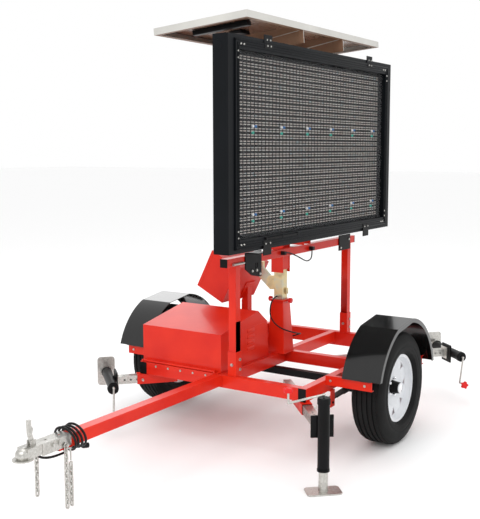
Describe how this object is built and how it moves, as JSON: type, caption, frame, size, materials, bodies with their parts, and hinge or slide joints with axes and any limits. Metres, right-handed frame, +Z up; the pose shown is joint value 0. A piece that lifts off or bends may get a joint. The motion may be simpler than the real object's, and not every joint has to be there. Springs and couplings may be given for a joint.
{
  "type": "message board trailer",
  "caption": "Towed sign trailer: lifting, swivelling full-matrix board and solar panel on a mast, battery box, console, outrigger jacks and ball coupler.",
  "frame": {"origin": "ground level under the centre of the overall outline (safety chains and cords not counted)", "axes": "+X towards the rear of the trailer, -X along the drawbar to the coupler, +Y to the side with the console, -Y the side the sign faces, +Z up"},
  "size_m": [3.5896, 2.0234, 2.5502],
  "materials": {
    "red_frame": "gloss red-orange enamel",
    "black_metal": "satin black paint",
    "sign_black": "satin blue-black powder coat",
    "black_plastic": "moulded caps and glands",
    "fender_black": "gloss black",
    "zinc": "zinc plated",
    "yellow_zinc": "yellow zinc plated",
    "steel": "bare steel",
    "white_wheel": "white-silver paint",
    "tyre": "black rubber",
    "pane": "clear polycarbonate",
    "led_board": "matte black modules with light dots",
    "aluminium": "satin anodised",
    "solar_cells": "dark blue cells under gloss, brownish underside",
    "battery_case": "moulded",
    "cable_black": "rubber sheath"
  },
  "bodies": {
    "chassis": {"drawbar": "red_frame", "side_rails": "red_frame", "cross_members": "red_frame", "end_caps": "black_plastic", "outrigger_sockets": "red_frame", "frame_brackets": "red_frame", "chassis_bolts": "zinc", "coupler": "zinc", "axle": "black_metal", "leaf_springs": "black_metal", "left_fender": "fender_black", "right_fender": "fender_black", "mast_base": "red_frame", "display_stand": "red_frame", "cradle_brackets": "black_metal", "battery_tray": "red_frame", "batteries": "battery_case", "control_box": "red_frame", "mast_cable": "cable_black", "sign_cable": "cable_black", "cable_glands": "black_plastic", "harness_lead": "cable_black", "harness_coil": "cable_black"},
    "coupler_latch": {"latch_lever": "zinc"},
    "left_safety_chain": {"left_chain": "zinc"},
    "right_safety_chain": {"right_chain": "zinc"},
    "left_road_wheel": {"left_wheel": "white_wheel", "left_tyre": "tyre"},
    "right_road_wheel": {"right_wheel": "white_wheel", "right_tyre": "tyre"},
    "mast": {"mast_post": "yellow_zinc", "lift_ram": "black_metal"},
    "sign": {"lift_rod": "steel", "lift_carriage": "red_frame", "sign_cabinet": "sign_black", "led_modules": "led_board", "solar_arms": "black_metal"},
    "door": {"sign_door": "sign_black", "door_pane": "pane", "door_latches": "black_metal"},
    "solar_panel": {"solar_frame": "aluminium", "solar_laminate": "solar_cells"},
    "battery_lid": {"battery_cover": "red_frame"},
    "console_lid": {"control_lid": "red_frame"},
    "outrigger_arm_front_left": {"outrigger_front_left": "zinc"},
    "jack_tube_front_left": {"jack_front_left": "black_metal"},
    "jack_foot_front_left": {"leg_front_left": "zinc"},
    "jack_handle_front_left": {"crank_front_left": "black_metal"},
    "outrigger_arm_front_right": {"outrigger_front_right": "zinc"},
    "jack_tube_front_right": {"jack_front_right": "black_metal"},
    "jack_foot_front_right": {"leg_front_right": "zinc"},
    "jack_handle_front_right": {"crank_front_right": "black_metal"},
    "outrigger_arm_rear_left": {"outrigger_rear_left": "zinc"},
    "jack_tube_rear_left": {"jack_rear_left": "black_metal"},
    "jack_foot_rear_left": {"leg_rear_left": "zinc"},
    "jack_handle_rear_left": {"crank_rear_left": "black_metal"},
    "outrigger_arm_rear_right": {"outrigger_rear_right": "zinc"},
    "jack_tube_rear_right": {"jack_rear_right": "black_metal"},
    "jack_foot_rear_right": {"leg_rear_right": "zinc"},
    "jack_handle_rear_right": {"crank_rear_right": "black_metal"}
  },
  "joints": [
    {"name": "left_wheel_spin", "type": "hinge", "parent": "chassis", "child": "left_road_wheel", "pos_m": [0.44184, -0.835, 0.345], "axis": [0, 1, 0], "continuous": true},
    {"name": "right_wheel_spin", "type": "hinge", "parent": "chassis", "child": "right_road_wheel", "pos_m": [0.44184, 0.835, 0.345], "axis": [0, 1, 0], "continuous": true},
    {"name": "mast_swivel", "type": "hinge", "parent": "chassis", "child": "mast", "pos_m": [0.54684, 0, 0.8], "axis": [0, 0, 1], "range_deg": [-170, 170]},
    {"name": "mast_lift", "type": "slide", "parent": "mast", "child": "sign", "axis": [0, 0, 1], "range_m": [0, 0.91]},
    {"name": "door_hinge", "type": "hinge", "parent": "sign", "child": "door", "pos_m": [0.54684, -0.309, 2.3875], "axis": [1, 0, 0], "range_deg": [-85, 0]},
    {"name": "solar_tilt", "type": "hinge", "parent": "sign", "child": "solar_panel", "pos_m": [0.54684, 0.023, 2.46], "axis": [1, 0, 0], "range_deg": [-35, 3]},
    {"name": "battery_cover_hinge", "type": "hinge", "parent": "chassis", "child": "battery_lid", "pos_m": [-0.18416, 0.3, 0.452], "axis": [0, 1, 0], "range_deg": [-75, 0]},
    {"name": "console_lid_hinge", "type": "hinge", "parent": "chassis", "child": "console_lid", "pos_m": [0.54184, 0.54324, 0.87022], "axis": [1, 0, 0], "range_deg": [-88, 0]},
    {"name": "coupler_latch_hinge", "type": "hinge", "parent": "chassis", "child": "coupler_latch", "pos_m": [-1.69416, 0, 0.462], "axis": [0, 1, 0], "range_deg": [0, 70]},
    {"name": "left_chain_swing", "type": "hinge", "parent": "chassis", "child": "left_safety_chain", "pos_m": [-1.51816, -0.044, 0.4015], "axis": [0, 1, 0], "range_deg": [-25, 25]},
    {"name": "right_chain_swing", "type": "hinge", "parent": "chassis", "child": "right_safety_chain", "pos_m": [-1.62316, 0.044, 0.4015], "axis": [0, 1, 0], "range_deg": [-25, 25]},
    {"name": "front_left_outrigger_slide", "type": "slide", "parent": "chassis", "child": "outrigger_arm_front_left", "axis": [-0.7431, -0.6691, 0], "range_m": [-0.2, 0.19]},
    {"name": "front_left_jack_swivel", "type": "hinge", "parent": "outrigger_arm_front_left", "child": "jack_tube_front_left", "pos_m": [-0.49353, -0.88095, 0.331], "axis": [-0.7431, -0.6691, 0], "range_deg": [0, 90]},
    {"name": "front_left_leg_slide", "type": "slide", "parent": "jack_tube_front_left", "child": "jack_foot_front_left", "axis": [0, 0, -1], "range_m": [-0.08, 0.16]},
    {"name": "front_left_crank_turn", "type": "hinge", "parent": "jack_tube_front_left", "child": "jack_handle_front_left", "pos_m": [-0.49353, -0.88095, 0.527], "axis": [0, 0, -1], "range_deg": [-4800, 9600]},
    {"name": "front_right_outrigger_slide", "type": "slide", "parent": "chassis", "child": "outrigger_arm_front_right", "axis": [-0.7431, 0.6691, 0], "range_m": [0, 0.35]},
    {"name": "front_right_jack_swivel", "type": "hinge", "parent": "outrigger_arm_front_right", "child": "jack_tube_front_right", "pos_m": [-0.33375, 0.73708, 0.331], "axis": [-0.7431, 0.6691, 0], "range_deg": [0, 90]},
    {"name": "front_right_leg_slide", "type": "slide", "parent": "jack_tube_front_right", "child": "jack_foot_front_right", "axis": [0.6691, 0.7431, 0], "range_m": [0, 0.24]},
    {"name": "front_right_crank_turn", "type": "hinge", "parent": "jack_tube_front_right", "child": "jack_handle_front_right", "pos_m": [-0.4649, 0.59143, 0.331], "axis": [0.6691, 0.7431, 0], "range_deg": [0, 14400]},
    {"name": "rear_left_outrigger_slide", "type": "slide", "parent": "chassis", "child": "outrigger_arm_rear_left", "axis": [0.7431, -0.6691, 0], "range_m": [-0.05, 0.35]},
    {"name": "rear_left_jack_swivel", "type": "hinge", "parent": "outrigger_arm_rear_left", "child": "jack_tube_rear_left", "pos_m": [1.58512, -0.81604, 0.331], "axis": [0.7431, -0.6691, 0], "range_deg": [-90, 0]},
    {"name": "rear_left_leg_slide", "type": "slide", "parent": "jack_tube_rear_left", "child": "jack_foot_rear_left", "axis": [0.6691, 0.7431, 0], "range_m": [0, 0.24]},
    {"name": "rear_left_crank_turn", "type": "hinge", "parent": "jack_tube_rear_left", "child": "jack_handle_rear_left", "pos_m": [1.45397, -0.9617, 0.331], "axis": [0.6691, 0.7431, 0], "range_deg": [0, 14400]},
    {"name": "rear_right_outrigger_slide", "type": "slide", "parent": "chassis", "child": "outrigger_arm_rear_right", "axis": [0.7431, 0.6691, 0], "range_m": [-0.05, 0.35]},
    {"name": "rear_right_jack_swivel", "type": "hinge", "parent": "outrigger_arm_rear_right", "child": "jack_tube_rear_right", "pos_m": [1.58512, 0.81604, 0.331], "axis": [0.7431, 0.6691, 0], "range_deg": [0, 90]},
    {"name": "rear_right_leg_slide", "type": "slide", "parent": "jack_tube_rear_right", "child": "jack_foot_rear_right", "axis": [0.6691, -0.7431, 0], "range_m": [0, 0.24]},
    {"name": "rear_right_crank_turn", "type": "hinge", "parent": "jack_tube_rear_right", "child": "jack_handle_rear_right", "pos_m": [1.45397, 0.9617, 0.331], "axis": [0.6691, -0.7431, 0], "range_deg": [0, 14400]}
  ],
  "couplings": [
    {"joint": "front_left_leg_slide", "follows": "front_left_crank_turn", "m_per_rad": 0.00095493},
    {"joint": "front_right_leg_slide", "follows": "front_right_crank_turn", "m_per_rad": 0.00095493},
    {"joint": "rear_left_leg_slide", "follows": "rear_left_crank_turn", "m_per_rad": 0.00095493},
    {"joint": "rear_right_leg_slide", "follows": "rear_right_crank_turn", "m_per_rad": 0.00095493}
  ]
}
